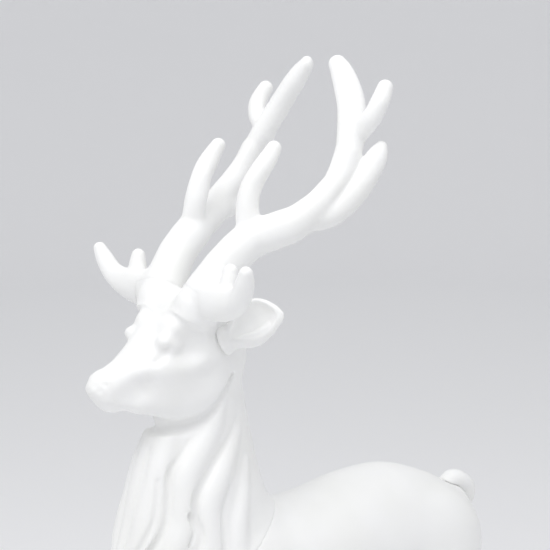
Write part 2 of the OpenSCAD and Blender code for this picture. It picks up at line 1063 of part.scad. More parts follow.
// Height of the lead above the junction box's base
lead_rise = 9;

module junction_box() {
  color(GREY)
    placed()
      translate(junction_at)
        difference() {
          union() {
            translate([-24, -14, 0])
              cube([48, 28, 20]);
            translate([-foot_size[0] / 2, -foot_size[1] / 2, -foot_drop])
              cube(foot_size);
          }
          translate([-20, -10, 3])
            cube([40, 20, 18]);
          translate([0, -4, lead_rise])
            rotate([90, 0, 0])
              cylinder(h = 14, r = 3.4, $fn = 32);
        }
}

lead_z = junction_at[2] + lead_rise;
lead_path = [
  [0, -26, lead_z, 3], [0, -44, lead_z, 3], [0, -60, lead_z, 3], [0, -90, 402, 3],
  [4, -112, 450, 3], [6, -130, 500, 3], [4, -144, 560, 3], [0, -150, 620, 3],
  [0, -144, 680, 3], [0, -138, 740, 3], [0, -136, 781, 3]
];

module head_lead() {
  color(DARK)
    placed()
      tube(lead_path, 8, 3);
}

module head_lamp() {
  color(AMBER)
    placed()
      translate([0, -136, 780.5])
        difference() {
          union() {
            cylinder(h = 16, r = 8, $fn = 48);
            translate([0, 0, 16])
              sphere(8, $fn = 48);
            translate([-44.5, -4, 0])
              cube([89, 8, 3]);
          }
          // the lead's end sits in here
          translate([0, 0, -1])
            cylinder(h = 2, r = 3.4, $fn = 32);
        }
}

torso();
neck_and_head();
ear_left();
ear_right();
tail();
antler_left();
antler_right();
antler_spigot_left();
antler_spigot_right();
antler_socket_left();
antler_socket_right();
leg_front_left();
leg_front_right();
leg_rear_left();
leg_rear_right();
hoof_plug_front_left();
hoof_plug_front_right();
hoof_plug_rear_left();
hoof_plug_rear_right();
neck_joint_ring();
neck_screws();
leg_screws();
belly_flange();
flange_screws();
lamp_carrier();
carrier_gasket();
lamp_holder();
bulb_cap();
led_bulb();
timer_box();
timer_button();
cord_gland();
junction_box();
head_lead();
head_lamp();
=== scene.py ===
"""Light-up yard reindeer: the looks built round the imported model.

Shells are sculpted as solids on a grid of points, in design millimetres, and skinned.
Fittings keep their CAD shapes. Screws are made by a Geometry Nodes tree and baked.
"""

import math
import bpy
import numpy as np
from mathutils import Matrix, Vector


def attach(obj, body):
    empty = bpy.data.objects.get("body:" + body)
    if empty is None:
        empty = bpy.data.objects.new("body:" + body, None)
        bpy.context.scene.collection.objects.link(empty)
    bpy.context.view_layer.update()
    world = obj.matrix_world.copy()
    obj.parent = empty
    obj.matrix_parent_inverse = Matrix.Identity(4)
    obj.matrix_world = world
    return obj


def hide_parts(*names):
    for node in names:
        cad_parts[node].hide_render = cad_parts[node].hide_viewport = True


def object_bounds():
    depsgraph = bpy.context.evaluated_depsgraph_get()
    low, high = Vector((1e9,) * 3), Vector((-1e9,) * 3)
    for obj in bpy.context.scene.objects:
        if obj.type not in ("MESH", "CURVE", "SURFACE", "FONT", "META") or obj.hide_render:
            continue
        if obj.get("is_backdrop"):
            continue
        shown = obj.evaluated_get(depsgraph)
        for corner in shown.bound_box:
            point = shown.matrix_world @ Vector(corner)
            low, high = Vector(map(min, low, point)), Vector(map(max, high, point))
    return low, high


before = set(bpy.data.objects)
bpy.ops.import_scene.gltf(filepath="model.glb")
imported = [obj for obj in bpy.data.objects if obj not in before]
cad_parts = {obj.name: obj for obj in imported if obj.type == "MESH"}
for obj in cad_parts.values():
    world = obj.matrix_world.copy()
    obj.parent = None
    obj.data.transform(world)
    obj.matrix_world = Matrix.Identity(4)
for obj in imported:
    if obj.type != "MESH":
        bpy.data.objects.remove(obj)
CAD_LOW, CAD_HIGH = (Vector(c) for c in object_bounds())

# Design millimetres, on the figure's own spine, become metres in the frame.
DESIGN_HEIGHT, MIDDLE_BEHIND_SPINE = 1225.6, 32
MM = (CAD_HIGH.z - CAD_LOW.z) / DESIGN_HEIGHT
SPINE_Y = (CAD_HIGH.y + CAD_LOW.y) / 2 - MIDDLE_BEHIND_SPINE * MM
GRAIN = 1.0

# Depths standing for empty space: a new block, and all that is out of a strand's reach
EMPTY, OUT_OF_REACH = 80.0, 60.0
SMOOTHING_ROUNDS = 2
SAW_SIDES = 96


def place(x, y, z):
    return Vector((x * MM, SPINE_Y + y * MM, z * MM))


# ---------- clay: solids on a grid ----------


class Clay:
    """A block of clay: negative inside, positive outside, in millimetres."""

    def __init__(self, low, high, grain):
        self.grain = grain * GRAIN
        self.low = np.floor(np.array(low, float) / self.grain) * self.grain
        count = np.ceil((np.array(high, float) - self.low) / self.grain).astype(int) + 1
        self.ticks = [(self.low[a] + self.grain * np.arange(count[a])).astype(np.float32) for a in range(3)]
        self.depth = np.full(count, EMPTY, np.float32)

    def window(self, low, high):
        cut = []
        for a in range(3):
            first = int(np.searchsorted(self.ticks[a], low[a]))
            last = int(np.searchsorted(self.ticks[a], high[a], side="right"))
            if last <= first:
                return None
            cut.append(slice(first, last))
        return tuple(cut)

    def points(self, cut):
        x, y, z = (self.ticks[a][cut[a]] for a in range(3))
        return x[:, None, None], y[None, :, None], z[None, None, :]

    def add(self, form, blend=4.0):
        low, high, measure = form
        cut = self.window(np.array(low) - 2 * blend - 3, np.array(high) + 2 * blend + 3)
        if cut:
            self.depth[cut] = joined(self.depth[cut], measure(*self.points(cut)), blend)

    def carve(self, form, blend=2.0):
        low, high, measure = form
        cut = self.window(np.array(low) - 2 * blend - 3, np.array(high) + 2 * blend + 3)
        if cut:
            self.depth[cut] = -joined(-self.depth[cut], measure(*self.points(cut)), blend)

    def everywhere(self):
        return self.points((slice(None),) * 3)

    def keep(self, measure):
        """Keeps only what is inside the given form, over the whole block."""
        self.depth = np.maximum(self.depth, measure(*self.everywhere()))


def joined(a, b, blend):
    """Soft union of two depths."""
    blend = np.maximum(blend, 0.01)
    h = np.maximum(blend - np.abs(a - b), 0) / blend
    return np.minimum(a, b) - h * h * blend * 0.25


def egg(centre, size, lean=0.0):
    """An ellipsoid, leaned about X by so many degrees."""
    c, r = np.array(centre, float), np.array(size, float)
    reach = np.full(3, r.max()) if lean else r
    co, si = math.cos(math.radians(lean)), math.sin(math.radians(lean))

    def measure(x, y, z):
        x, y, z = x - c[0], y - c[1], z - c[2]
        y, z = co * y + si * z, -si * y + co * z
        k0 = np.sqrt((x / r[0]) ** 2 + (y / r[1]) ** 2 + (z / r[2]) ** 2)
        k1 = np.sqrt((x / r[0] ** 2) ** 2 + (y / r[1] ** 2) ** 2 + (z / r[2] ** 2) ** 2)
        return k0 * (k0 - 1) / np.maximum(k1, 1e-6)

    return c - reach, c + reach, measure


def curve(rows, steps):
    """A smooth line through rows of numbers."""
    p = np.array(rows, float)
    p = np.vstack([2 * p[0] - p[1], p, 2 * p[-1] - p[-2]])
    out = []
    for i in range(1, len(p) - 2):
        a, b, c, d = p[i - 1 : i + 3]
        for t in np.arange(steps) / steps:
            square, cube = 2 * a - 5 * b + 4 * c - d, 3 * b - a - 3 * c + d
            out.append(0.5 * (2 * b + (c - a) * t + square * t**2 + cube * t**3))
    out.append(p[-2])
    return np.array(out)


def strand(rows, steps=5, press=1.0, toward=(0, 0, 1)):
    """A tube of changing radius along x, y, z, radius rows, pressed flat along one direction."""
    p = curve(rows, steps)
    p[:, 3] = np.maximum(p[:, 3], 0.3)
    low = (p[:, :3] - p[:, 3:]).min(0)
    high = (p[:, :3] + p[:, 3:]).max(0)
    n = np.array(toward, float)
    n = n / np.linalg.norm(n)
    extra = 1 / press**2 - 1

    def measure(x, y, z):
        best = np.full(np.broadcast_shapes(x.shape, y.shape, z.shape), OUT_OF_REACH, np.float32)
        xs, ys, zs = x[:, 0, 0], y[0, :, 0], z[0, 0, :]
        for a, b in zip(p[:-1], p[1:]):
            pad = max(a[3], b[3]) + 22
            lo, hi = np.minimum(a, b)[:3] - pad, np.maximum(a, b)[:3] + pad
            i0, i1 = np.searchsorted(xs, (lo[0], hi[0]))
            j0, j1 = np.searchsorted(ys, (lo[1], hi[1]))
            k0, k1 = np.searchsorted(zs, (lo[2], hi[2]))
            if i0 == i1 or j0 == j1 or k0 == k1:
                continue
            along = b[:3] - a[:3]
            dx, dy, dz = x[i0:i1] - a[0], y[:, j0:j1] - a[1], z[:, :, k0:k1] - a[2]
            t = np.clip((dx * along[0] + dy * along[1] + dz * along[2]) / max(along @ along, 1e-6), 0, 1)
            dx, dy, dz = dx - t * along[0], dy - t * along[1], dz - t * along[2]
            square = dx * dx + dy * dy + dz * dz
            if extra:
                square = square + extra * (dx * n[0] + dy * n[1] + dz * n[2]) ** 2
            part = np.sqrt(square) - (a[3] + t * (b[3] - a[3]))
            best[i0:i1, j0:j1, k0:k1] = np.minimum(best[i0:i1, j0:j1, k0:k1], part)
        return best

    return low, high, measure


def tube_along(centre, direction, radius, low, high):
    """A round bar on an axis, from low to high along it."""
    c, d = np.array(centre, float), np.array(direction, float)
    d = d / np.linalg.norm(d)
    tips = np.array([c + d * low, c + d * high])

    def measure(x, y, z):
        x, y, z = x - c[0], y - c[1], z - c[2]
        t = x * d[0] + y * d[1] + z * d[2]
        ring = np.sqrt(np.maximum(x * x + y * y + z * z - t * t, 0)) - radius
        return np.maximum(ring, np.maximum(low - t, t - high))

    return tips.min(0) - radius, tips.max(0) + radius, measure


def skin(block, name, mirrored=False, flip=False):
    """Turns clay into a closed mesh of four-sided faces, one point to a cell."""
    d, h = block.depth, block.grain
    low = block.low.copy()
    if mirrored:
        d = np.concatenate([d[:0:-1], d])
        low[0] = -h * (block.depth.shape[0] - 1)
    d = np.pad(d, 1, constant_values=9.0)
    low = low - h
    inside = d < 0
    count = np.zeros(tuple(n - 1 for n in d.shape), np.int8)
    corners = [(i, j, k) for i in (0, 1) for j in (0, 1) for k in (0, 1)]
    part = [slice(0, -1), slice(1, None)]
    for i, j, k in corners:
        count += inside[part[i], part[j], part[k]]
    cells = np.argwhere((count > 0) & (count < 8))
    number = np.full(count.shape, -1, np.int32)
    number[tuple(cells.T)] = np.arange(len(cells))
    total, hits = np.zeros((len(cells), 3)), np.zeros(len(cells))
    for a in range(3):
        for side in ((0, 0), (0, 1), (1, 0), (1, 1)):
            start = np.insert(np.array(side), a, 0)
            end = np.insert(np.array(side), a, 1)
            v0, v1 = d[tuple((cells + start).T)], d[tuple((cells + end).T)]
            crossed = (v0 < 0) != (v1 < 0)
            t = np.where(crossed, v0 / np.where(crossed, v0 - v1, 1), 0)
            point = start + np.outer(t, end - start)
            total += point * crossed[:, None]
            hits += crossed
    points = cells + total / hits[:, None]
    faces = []
    for a in range(3):
        b, c = (a + 1) % 3, (a + 2) % 3
        first = [slice(1, -1)] * 3
        second = [slice(1, -1)] * 3
        first[a], second[a] = slice(0, -1), slice(1, None)
        s0, s1 = inside[tuple(first)], inside[tuple(second)]
        at = np.argwhere(s0 != s1)
        out = s0[tuple(at.T)]
        for k in range(3):
            if k != a:
                at[:, k] += 1
        quad = []
        for db, dc in ((-1, -1), (0, -1), (0, 0), (-1, 0)):
            cell = at.copy()
            cell[:, b] += db
            cell[:, c] += dc
            quad.append(number[tuple(cell.T)])
        quad = np.array(quad).T
        quad[~out] = quad[~out][:, ::-1]
        faces.append(quad)
    faces = np.concatenate(faces)
    for _ in range(SMOOTHING_ROUNDS):
        near, links = np.zeros_like(points), np.zeros(len(points))
        for k in range(4):
            p, q = faces[:, k], faces[:, (k + 1) % 4]
            for axis in range(3):
                near[:, axis] += np.bincount(p, points[q, axis], len(points))
            links += np.bincount(p, minlength=len(points))
        points = 0.55 * points + 0.45 * near / np.maximum(links, 1)[:, None]
    points = low + points * h
    if flip:
        points[:, 0] *= -1
        faces = faces[:, ::-1]
    points = points * MM + np.array([0, SPINE_Y, 0])
    return mesh_piece(name, points, faces)


def mesh_piece(name, points, faces):
    mesh = bpy.data.meshes.new(name)
    mesh.vertices.add(len(points))
    mesh.vertices.foreach_set("co", np.asarray(points, np.float32).ravel())
    sides = faces.shape[1]
    mesh.loops.add(len(faces) * sides)
    mesh.loops.foreach_set("vertex_index", faces.astype(np.int32).ravel())
    mesh.polygons.add(len(faces))
    mesh.polygons.foreach_set("loop_start", np.arange(len(faces), dtype=np.int32) * sides)
    mesh.polygons.foreach_set("loop_total", np.full(len(faces), sides, np.int32))
    mesh.polygons.foreach_set("use_smooth", np.ones(len(faces), bool))
    mesh.update(calc_edges=True)
    mesh.validate()
    piece = bpy.data.objects.new(name, mesh)
    bpy.context.scene.collection.objects.link(piece)
    return piece


# ---------- the figure's shape ----------

JOINT_TILT = math.radians(32)
JOINT_UP = np.array([0, -math.sin(JOINT_TILT), math.cos(JOINT_TILT)])
JOINT_AT = np.array([0, -150, 515])
BURR = np.array([52, -167, 898])
BURR_UP = np.array([0.24, 0.50, 0.832]) / np.linalg.norm([0.24, 0.50, 0.832])
PORT = (0, 60, 366)
FLANGE_R = 62
EAR_AT = np.array([53, -142, 832])
EAR_OUT = np.array([0.682, 0.598, 0.42])

# Trunk: place along the spine, top, underside, half width
TRUNK = [
    (-290, 470, 462, 6), (-280, 502, 430, 36), (-255, 530, 398, 64), (-200, 556, 360, 86),
    (-120, 576, 343, 98),
    (-40, 582, 352, 103), (40, 584, 367, 104), (119, 600, 381, 98), (197, 603, 390, 97),
    (270, 581, 392, 94),
    (318, 556, 408, 78), (342, 546, 440, 50), (351, 530, 474, 16),
]
# Neck: height, throat, nape, half width
NECK = [
    (430, -250, -60, 84), (480, -268, -40, 86), (520, -271, -30, 84), (560, -266, -28, 78),
    (600, -254, -38, 70),
    (640, -244, -51, 63), (668, -235, -58, 57), (700, -220, -65, 51), (719, -208, -69, 48),
    (760, -196, -78, 46),
    (800, -188, -93, 42), (835, -180, -104, 36),
]
# Head, on an axis that noses down: place along it, centre height, half width, rise above, drop below
HEAD_PITCH = math.radians(-38)
HEAD_AT = np.array([0, -128, 832])
HEAD = [
    (-40, -12, 20, 20, 20), (-26, -6, 42, 42, 40), (0, 0, 57, 72, 68), (36, 6, 58, 76, 86),
    (72, 12, 52, 66, 80),
    (116, 21, 38, 53, 54), (150, 36, 30, 43, 32), (169, 50, 27, 31, 25), (180, 58, 19, 20, 18),
    (185, 61, 8, 9, 8),
]


def loft_of(rows, spine, across, x, y, z, power=2.0):
    """Depth below a skin whose half width, rise and drop change along a spine.

    A power of two gives oval sections, and more gives fuller, squarer ones.
    """
    table = curve(rows, 6)
    s = spine(y, z)
    mid, width, rise, drop = (np.interp(s, table[:, 0], table[:, k]).astype(np.float32) for k in range(1, 5))
    v = across(y, z) - mid
    tall = np.where(v > 0, rise, drop)
    a, b = np.abs(x / width), np.abs(v / tall)
    size = np.maximum((a**power + b**power) ** (1 / power), 1e-3)
    steep = size ** (1 - power) * np.sqrt((a ** (power - 1) / width) ** 2 + (b ** (power - 1) / tall) ** 2)
    body = (size - 1) / np.maximum(steep, 1e-4)
    return np.maximum(body, np.maximum(table[0, 0] - s, s - table[-1, 0]))


def trunk():
    rows = [(y, (t + b) / 2, w, (t - b) / 2, (t - b) / 2) for y, t, b, w in TRUNK]
    measure = lambda x, y, z: loft_of(rows, lambda y, z: y, lambda y, z: z, x, y, z)
    return (-110, -290, 340), (110, 352, 606), measure


def neck():
    rows = [(z, (f + b) / 2, w, (b - f) / 2, (b - f) / 2) for z, f, b, w in NECK]
    measure = lambda x, y, z: loft_of(rows, lambda y, z: z, lambda y, z: y, x, y, z)
    return (-90, -275, 430), (90, -20, 835), measure


def head():
    co, si = math.cos(HEAD_PITCH), math.sin(HEAD_PITCH)
    forward = lambda y, z: -(y - HEAD_AT[1]) * co + (z - HEAD_AT[2]) * si
    upward = lambda y, z: (y - HEAD_AT[1]) * si + (z - HEAD_AT[2]) * co
    measure = lambda x, y, z: loft_of(HEAD, forward, upward, x, y, z, 2.5)
    return (-60, -325, 700), (60, -60, 915), measure


def pair(form):
    """A form on the left side, and its mirror where a block spans both."""
    low, high, measure = form
    return low, high, lambda x, y, z: measure(np.abs(x), y, z)


# Antler: main beam, points, and the palm of the brow point, as x, y, z, radius
BEAM = [
    (49, -174, 887, 31), (52, -167, 900, 30), (63, -138, 942, 27), (72, -108, 970, 26), (88, -84, 982, 25),
    (104, -56, 994, 24), (114, -30, 1014, 20), (118, -8, 1036, 17), (118, 14, 1060, 16.5),
    (114, 28, 1084, 17),
]
# Upper beam, seen broad from the side and pressed thinner across
CROWN = [
    (118, 10, 1056, 16), (114, 28, 1084, 17.5), (104, 42, 1112, 20), (86, 57, 1148, 20), (70, 64, 1172, 19),
    (52, 69, 1194, 17), (36, 71, 1210, 12.5),
]
TINES = [
    [(60, -152, 918, 20), (84, -166, 903, 18), (110, -175, 894, 17), (140, -181, 897, 15.5),
     (162, -185, 909, 14.5),
     (178, -189, 928, 13), (187, -193, 944, 9)],
    [(96, -170, 898, 13), (110, -173, 906, 14), (116, -171, 922, 13), (117, -169, 938, 10)],
    [(74, -104, 966, 19), (67, -106, 1000, 16.5), (63, -103, 1027, 15.5), (65, -94, 1052, 14.5),
     (69, -78, 1075, 13.5),
     (68, -64, 1094, 10.5)],
    [(104, -44, 998, 18), (120, -8, 1006, 19), (128, 18, 1025, 18.5), (133, 42, 1052, 17.5),
     (135, 60, 1078, 15.5),
     (134, 71, 1095, 9)],
    [(104, 44, 1108, 16), (118, 50, 1120, 14.5), (136, 53, 1137, 13.5), (143, 60, 1156, 13),
     (140, 72, 1176, 11)],
]
PALM = [
    (60, -176, 900, 22), (84, -180, 896, 25), (108, -180, 896, 25), (132, -182, 900, 20),
    (154, -184, 908, 14),
]
# Radius of the part of an antler root that belongs to the skull below the seat
ROOT_R = 40

# Ear, along its length: middle, half height, thickness out of its face and behind it
EAR_UP = np.array([-0.33, -0.26, 0.906])
EAR = [
    (-2, 0, 22, 22, 22), (8, 0, 20, 17, 18), (17, 0, 18, 11, 13), (28, 0, 23, 11, 13), (48, 0, 31, 12, 14),
    (70, 1, 28, 10, 12), (84, 2, 20, 7, 9), (94, 3, 11, 4, 5), (99, 3, 1, 1, 1),
]
EAR_BOWL = [
    (20, 12, 4, 6, 4), (32, 11, 13, 11, 13), (50, 10, 23, 14, 18), (70, 10, 22, 12, 15),
    (83, 10, 13, 8, 9), (91, 9, 2, 2, 1),
]
# How far each sits above the ear's axis, along it
EAR_SWEEP = [(0, 0), (16, 1), (28, 3), (48, 6), (70, 9), (84, 8), (99, 3)]
BOWL_SWEEP = [(20, 3), (32, 6), (50, 10), (70, 12), (83, 10), (91, 6)]
EAR_FOLD = [(76, -130, 836, 2), (86, -118, 842, 3.5), (96, -107, 850, 3.5), (104, -98, 858, 2)]

# Tail: x, y, z, radius, and the creases in its tuft
TAIL = [
    (0, 326, 551, 14), (0, 340, 556, 17), (0, 352, 553, 18), (0, 364, 544, 17), (0, 370, 530, 14),
    (0, 374, 516, 8),
]
TAIL_CREASES = [
    [(8, 346, 572, 1), (9, 364, 562, 2.4), (7, 378, 546, 1.5)],
    [(0, 350, 574, 1), (0, 366, 563, 2), (0, 380, 544, 1.5)],
]

# Legs: middle x, middle y, height, half width, front and back
FRONT_TOP, REAR_TOP = (58, -112, 320), (64, 284, 300)
FRONT_FOOT, REAR_FOOT = (58, -126, 0), (64, 288, 0)
FRONT_LEG = [
    (58, -112, 320, 24, 30, 30), (58, -113, 280, 21.5, 26, 26), (58, -116, 232, 19.5, 22, 22),
    (58, -119, 202, 21.5, 25, 20),
    (58, -117, 168, 17.5, 19, 19), (58, -114, 112, 15.5, 17, 17), (58, -113, 72, 17, 18, 19),
    (58, -114, 54, 19.5, 21, 22),
    (58, -119, 38, 18.5, 22, 19), (58, -122, 27, 22, 29, 22), (58, -126, 3, 26, 38, 27),
    (58, -126, 0, 25, 37, 26),
]
REAR_LEG = [
    (64, 284, 300, 27, 36, 36), (64, 300, 262, 22, 30, 28), (64, 314, 228, 21, 27, 25),
    (64, 314, 194, 18, 21, 19),
    (64, 309, 138, 15.5, 17.5, 17.5), (64, 303, 78, 17, 19, 19), (64, 301, 56, 20, 21, 23),
    (64, 296, 39, 18.5, 22, 20),
    (64, 292, 27, 22, 29, 22), (64, 288, 3, 26, 38, 27), (64, 288, 0, 25, 37, 26),
]

# Upper legs where they leave the trunk: x, y, z, radius
SHOULDER = [
    (58, -104, 470, 40), (61, -105, 420, 44), (61, -108, 378, 35), (59, -111, 346, 32), (58, -112, 318, 29),
    (58, -112, 290, 27),
]
HAUNCH = [
    (58, 256, 470, 54), (62, 256, 425, 62), (63, 262, 380, 54), (64, 272, 340, 45), (64, 284, 300, 36),
    (64, 292, 280, 33),
]

# Mane locks and creases: height, degrees round from the side towards the front, radius
MANE = [
    [(735, 90, 10), (700, 90, 20), (660, 90, 22), (620, 90, 25), (580, 90, 22), (540, 90, 26),
     (500, 90, 23), (455, 90, 12)],
    [(735, 68, 10), (700, 66, 19), (660, 66, 23), (620, 68, 24), (580, 70, 27), (540, 74, 25),
     (500, 72, 25), (455, 68, 12)],
    [(745, 0, 9), (710, 10, 17), (680, 22, 21), (650, 33, 22), (620, 35, 22), (590, 35, 21),
     (560, 39, 23), (530, 46, 24),
     (500, 50, 22), (455, 50, 10)],
    [(705, -28, 6), (670, -12, 15), (640, 2, 21), (610, 13, 22), (580, 14, 22), (550, 13, 22),
     (520, 14, 22), (490, 15, 20),
     (455, 15, 10)],
    [(660, -34, 6), (620, -22, 14), (580, -12, 18), (540, -10, 19), (500, -10, 17), (460, -10, 8)],
]
CREASES = [
    [(700, 36, 2.6), (680, 42, 4), (660, 48, 6), (630, 47, 6), (600, 47, 6), (575, 51, 6),
     (550, 60, 6), (520, 63, 5), (470, 60, 2.6)],
    [(725, -26, 2.6), (700, -12, 5), (675, 3, 6), (650, 15, 7), (625, 24, 7.5), (600, 25, 6),
     (575, 21, 6), (545, 23, 5.5),
     (510, 30, 5), (470, 30, 2.6)],
    [(612, 34, 2.6), (598, 28, 6), (582, 25, 5), (562, 30, 2.6)],
    [(635, -6, 2.6), (600, 3, 4), (565, 4, 5), (530, 4, 5), (475, 2, 2.6)],
]
# Shallow combing lines, laid along the tops of the locks
COMBING = [
    [(650, 58, 2), (600, 57, 3.4), (565, 64, 3.6), (530, 76, 3.4), (490, 80, 2)],
    [(690, 78, 2), (640, 77, 3), (590, 82, 3), (540, 84, 2)],
]
COMB_LIFT = 9.0

# Along the head: x, y, z, radius
CHEEKBONE = [
    (32, -250, 800, 8), (42, -230, 804, 9), (48, -206, 806, 9), (50, -176, 810, 9), (46, -150, 814, 8),
]
JAW = [(18, -246, 756, 14), (25, -208, 752, 20), (31, -174, 756, 24), (36, -148, 776, 19), (40, -136, 797, 12)]
MOUTH = [(0, -315, 762, 2.6), (17, -307, 759, 2.6), (28, -288, 756, 2.6), (36, -264, 758, 2.4)]
JAW_FOLD = [
    (0, -224, 715, 9), (22, -213, 717, 10), (39, -186, 721, 10), (48, -158, 735, 8), (51, -136, 760, 6),
    (50, -124, 786, 4),
]
# The neck's inside, and the block of clay that the head and neck are cut from
NECK_HOLLOW = [
    (0, -165, 560, 44), (0, -158, 640, 40), (0, -144, 700, 34), (0, -138, 760, 32), (0, -138, 800, 26),
]
HEAD_BLOCK = (0, -335, 430), (112, -18, 925)


def on_neck(height, degrees, sink):
    """A point on the neck's skin, sunk a little way into it."""
    rows = curve(NECK, 6)
    throat, nape, wide = (np.interp(height, rows[:, 0], rows[:, k]) for k in (1, 2, 3))
    a = math.radians(degrees)
    deep = (nape - throat) / 2
    return (math.cos(a) * (wide - sink), (throat + nape) / 2 - math.sin(a) * (deep - sink), height)


def laid_on_neck(rows, sunk):
    return [(*on_neck(height, degrees, sunk * r), r) for height, degrees, r in rows]


def sculpt_figure(clay):
    clay.add(trunk(), 0)
    clay.add(neck(), 34)
    # shoulders and haunches, running down into the legs
    clay.add(pair(egg((60, -104, 452), (40, 62, 92))), 26)
    clay.add(pair(egg((58, -70, 500), (32, 44, 46))), 26)
    clay.add(pair(egg((58, 262, 452), (42, 74, 100))), 28)
    clay.add(pair(egg((62, 232, 420), (36, 56, 62))), 24)
    clay.add(pair(strand(SHOULDER, 5, 0.84, (1, 0, 0))), 16)
    clay.add(pair(strand(HAUNCH, 5, 0.76, (1, 0, 0))), 16)


def sculpt_mane(clay):
    for rows in MANE:
        clay.add(pair(strand(laid_on_neck(rows, 0.62), 5)), 5)
    for rows in CREASES:
        clay.carve(pair(strand(laid_on_neck(rows, -0.6), 5)), 2)
    for rows in COMBING:
        lifted = [(*on_neck(height, degrees, -COMB_LIFT), r) for height, degrees, r in rows]
        clay.carve(pair(strand(lifted, 5)), 5)


def sculpt_head(clay):
    clay.add(head(), 14)
    # pedicles, forehead, and the brow over each eye
    clay.add(pair(tube_along(BURR, BURR_UP, 28, -40, -2)), 18)
    clay.add(egg((0, -168, 872), (44, 34, 30), -20), 14)
    clay.add(pair(egg((34, -190, 846), (24, 34, 22), -30)), 14)
    clay.add(pair(egg((43, -222, 838), (12, 14, 10), -30)), 12)
    # cheekbone running back to the temple, then the jaw to its corner, lips, chin and nose pad
    clay.add(pair(strand(CHEEKBONE)), 20)
    clay.add(pair(strand(JAW)), 16)
    clay.add(pair(egg((22, -200, 784), (33, 52, 38), -38)), 18)
    clay.add(pair(egg((13, -292, 764), (13, 15, 10), -20)), 8)
    clay.add(egg((0, -286, 753), (15, 15, 8), -10), 8)
    clay.add(egg((0, -295, 785), (21, 18, 19), -25), 5)
    clay.add(pair(egg((16, -300, 787), (7, 8, 8), -20)), 4)
    clay.add(pair(egg((44, -150, 828), (15, 17, 16))), 14)
    # eye: a soft round socket and the ball in it
    clay.carve(pair(egg((71, -199, 835), (21, 26, 24), -30)), 14)
    clay.add(pair(egg((39, -213, 833), (13, 13, 12))), 7)
    # tear duct, side of the nose, nostril, mouth, and the fold under the jaw
    clay.carve(pair(strand([(49, -226, 830, 3), (48, -232, 823, 4), (45, -239, 815, 3)])), 8)
    clay.carve(pair(egg((47, -278, 769), (18, 36, 17), 32)), 16)
    clay.carve(pair(egg((21, -314, 780), (6.5, 6, 5), 20)), 3)
    clay.carve(pair(strand([(11, -316, 785, 2.5), (18, -311, 790, 3), (24, -303, 787, 2.5)])), 3)
    clay.carve(pair(strand(MOUTH)), 4)
    clay.carve(pair(strand(JAW_FOLD)), 5)


def below(point, up, gap=0.0):
    return lambda x, y, z: (x - point[0]) * up[0] + (y - point[1]) * up[1] + (z - point[2]) * up[2] + gap


def oval_bore(at, up, a, b, low, high):
    """An oval hole whose long side follows the joint's slope."""
    slope = np.array([0, up[2], -up[1]])

    def measure(x, y, z):
        v = (y - at[1]) * slope[1] + (z - at[2]) * slope[2]
        t = (y - at[1]) * up[1] + (z - at[2]) * up[2]
        ring = (np.sqrt(((x - at[0]) / a) ** 2 + (v / b) ** 2) - 1) * min(a, b)
        return np.maximum(ring, np.maximum(low - t, t - high))

    reach = max(a, b, abs(low), abs(high)) + 5
    return np.array(at) - reach, np.array(at) + reach, measure


def make_head_and_neck(antlers, ears):
    clay = Clay(*HEAD_BLOCK, 2.2)
    sculpt_figure(clay)
    sculpt_mane(clay)
    sculpt_head(clay)
    clay.keep(lambda x, y, z: -below(JOINT_AT, JOINT_UP, 1.2)(x, y, z))
    clay.carve(oval_bore(JOINT_AT, JOINT_UP, 44.2, 86.2, -20, 60), 0)
    clay.carve(strand(NECK_HOLLOW, 4), 4)
    clay.carve(tube_along((0, -140, 782), (1, 0, 0), 6, -46, 46), 0)
    clay.carve(tube_along(BURR, BURR_UP, 12, -47, 4), 0)
    root_on_skull(clay, *HEAD_BLOCK)
    clay.carve(tube_along(BURR, BURR_UP, ROOT_R, 4, 40), 0)
    clay.carve(tube_along(EAR_AT, EAR_OUT, 6.3, -20, 20), 0)
    clay.carve(tube_along(EAR_AT, EAR_OUT, 17, 2.8, 14), 0)
    shell = skin(clay, "head_and_neck_shell", mirrored=True)
    for side in (1, -1):
        saw(shell, mirror_x(BURR, side), mirror_x(BURR_UP, side), ROOT_R, 0, 50)
    for piece in (*antlers, *ears):
        take_from(shell, piece)
    return shell


def make_torso():
    clay = Clay((0, -295, 296), (114, 360, 612), 3.0)
    sculpt_figure(clay)
    inner = clay.depth + 12
    sculpt_mane(clay)
    clay.keep(below(JOINT_AT, JOINT_UP, -1.2))
    cut = lambda x, y, z: np.where(y < 90, 320.0, 300.0) - z
    clay.keep(cut)
    clay.add(tube_along(PORT, (0, 0, 1), 64, 0, 30), 10)
    clay.keep(lambda x, y, z: np.where(x * x + (y - 60) ** 2 < (FLANGE_R + 4) ** 2, PORT[2], 0.0) - z)
    hollow = np.maximum(inner, below(JOINT_AT, JOINT_UP, 10)(*clay.everywhere()))
    clay.depth = np.maximum(clay.depth, -hollow)
    clay.carve(tube_along(PORT, (0, 0, 1), 48, -6, 60), 0)
    for top, a, b in ((FRONT_TOP, 19.7, 25.7), (REAR_TOP, 22.7, 31.7)):
        clay.carve(oval_bore(np.array(top), (0, 0, 1), a, b, -2, 31), 0)
    return skin(clay, "torso_shell", mirrored=True)


# ---------- antlers, ears, tail and legs ----------


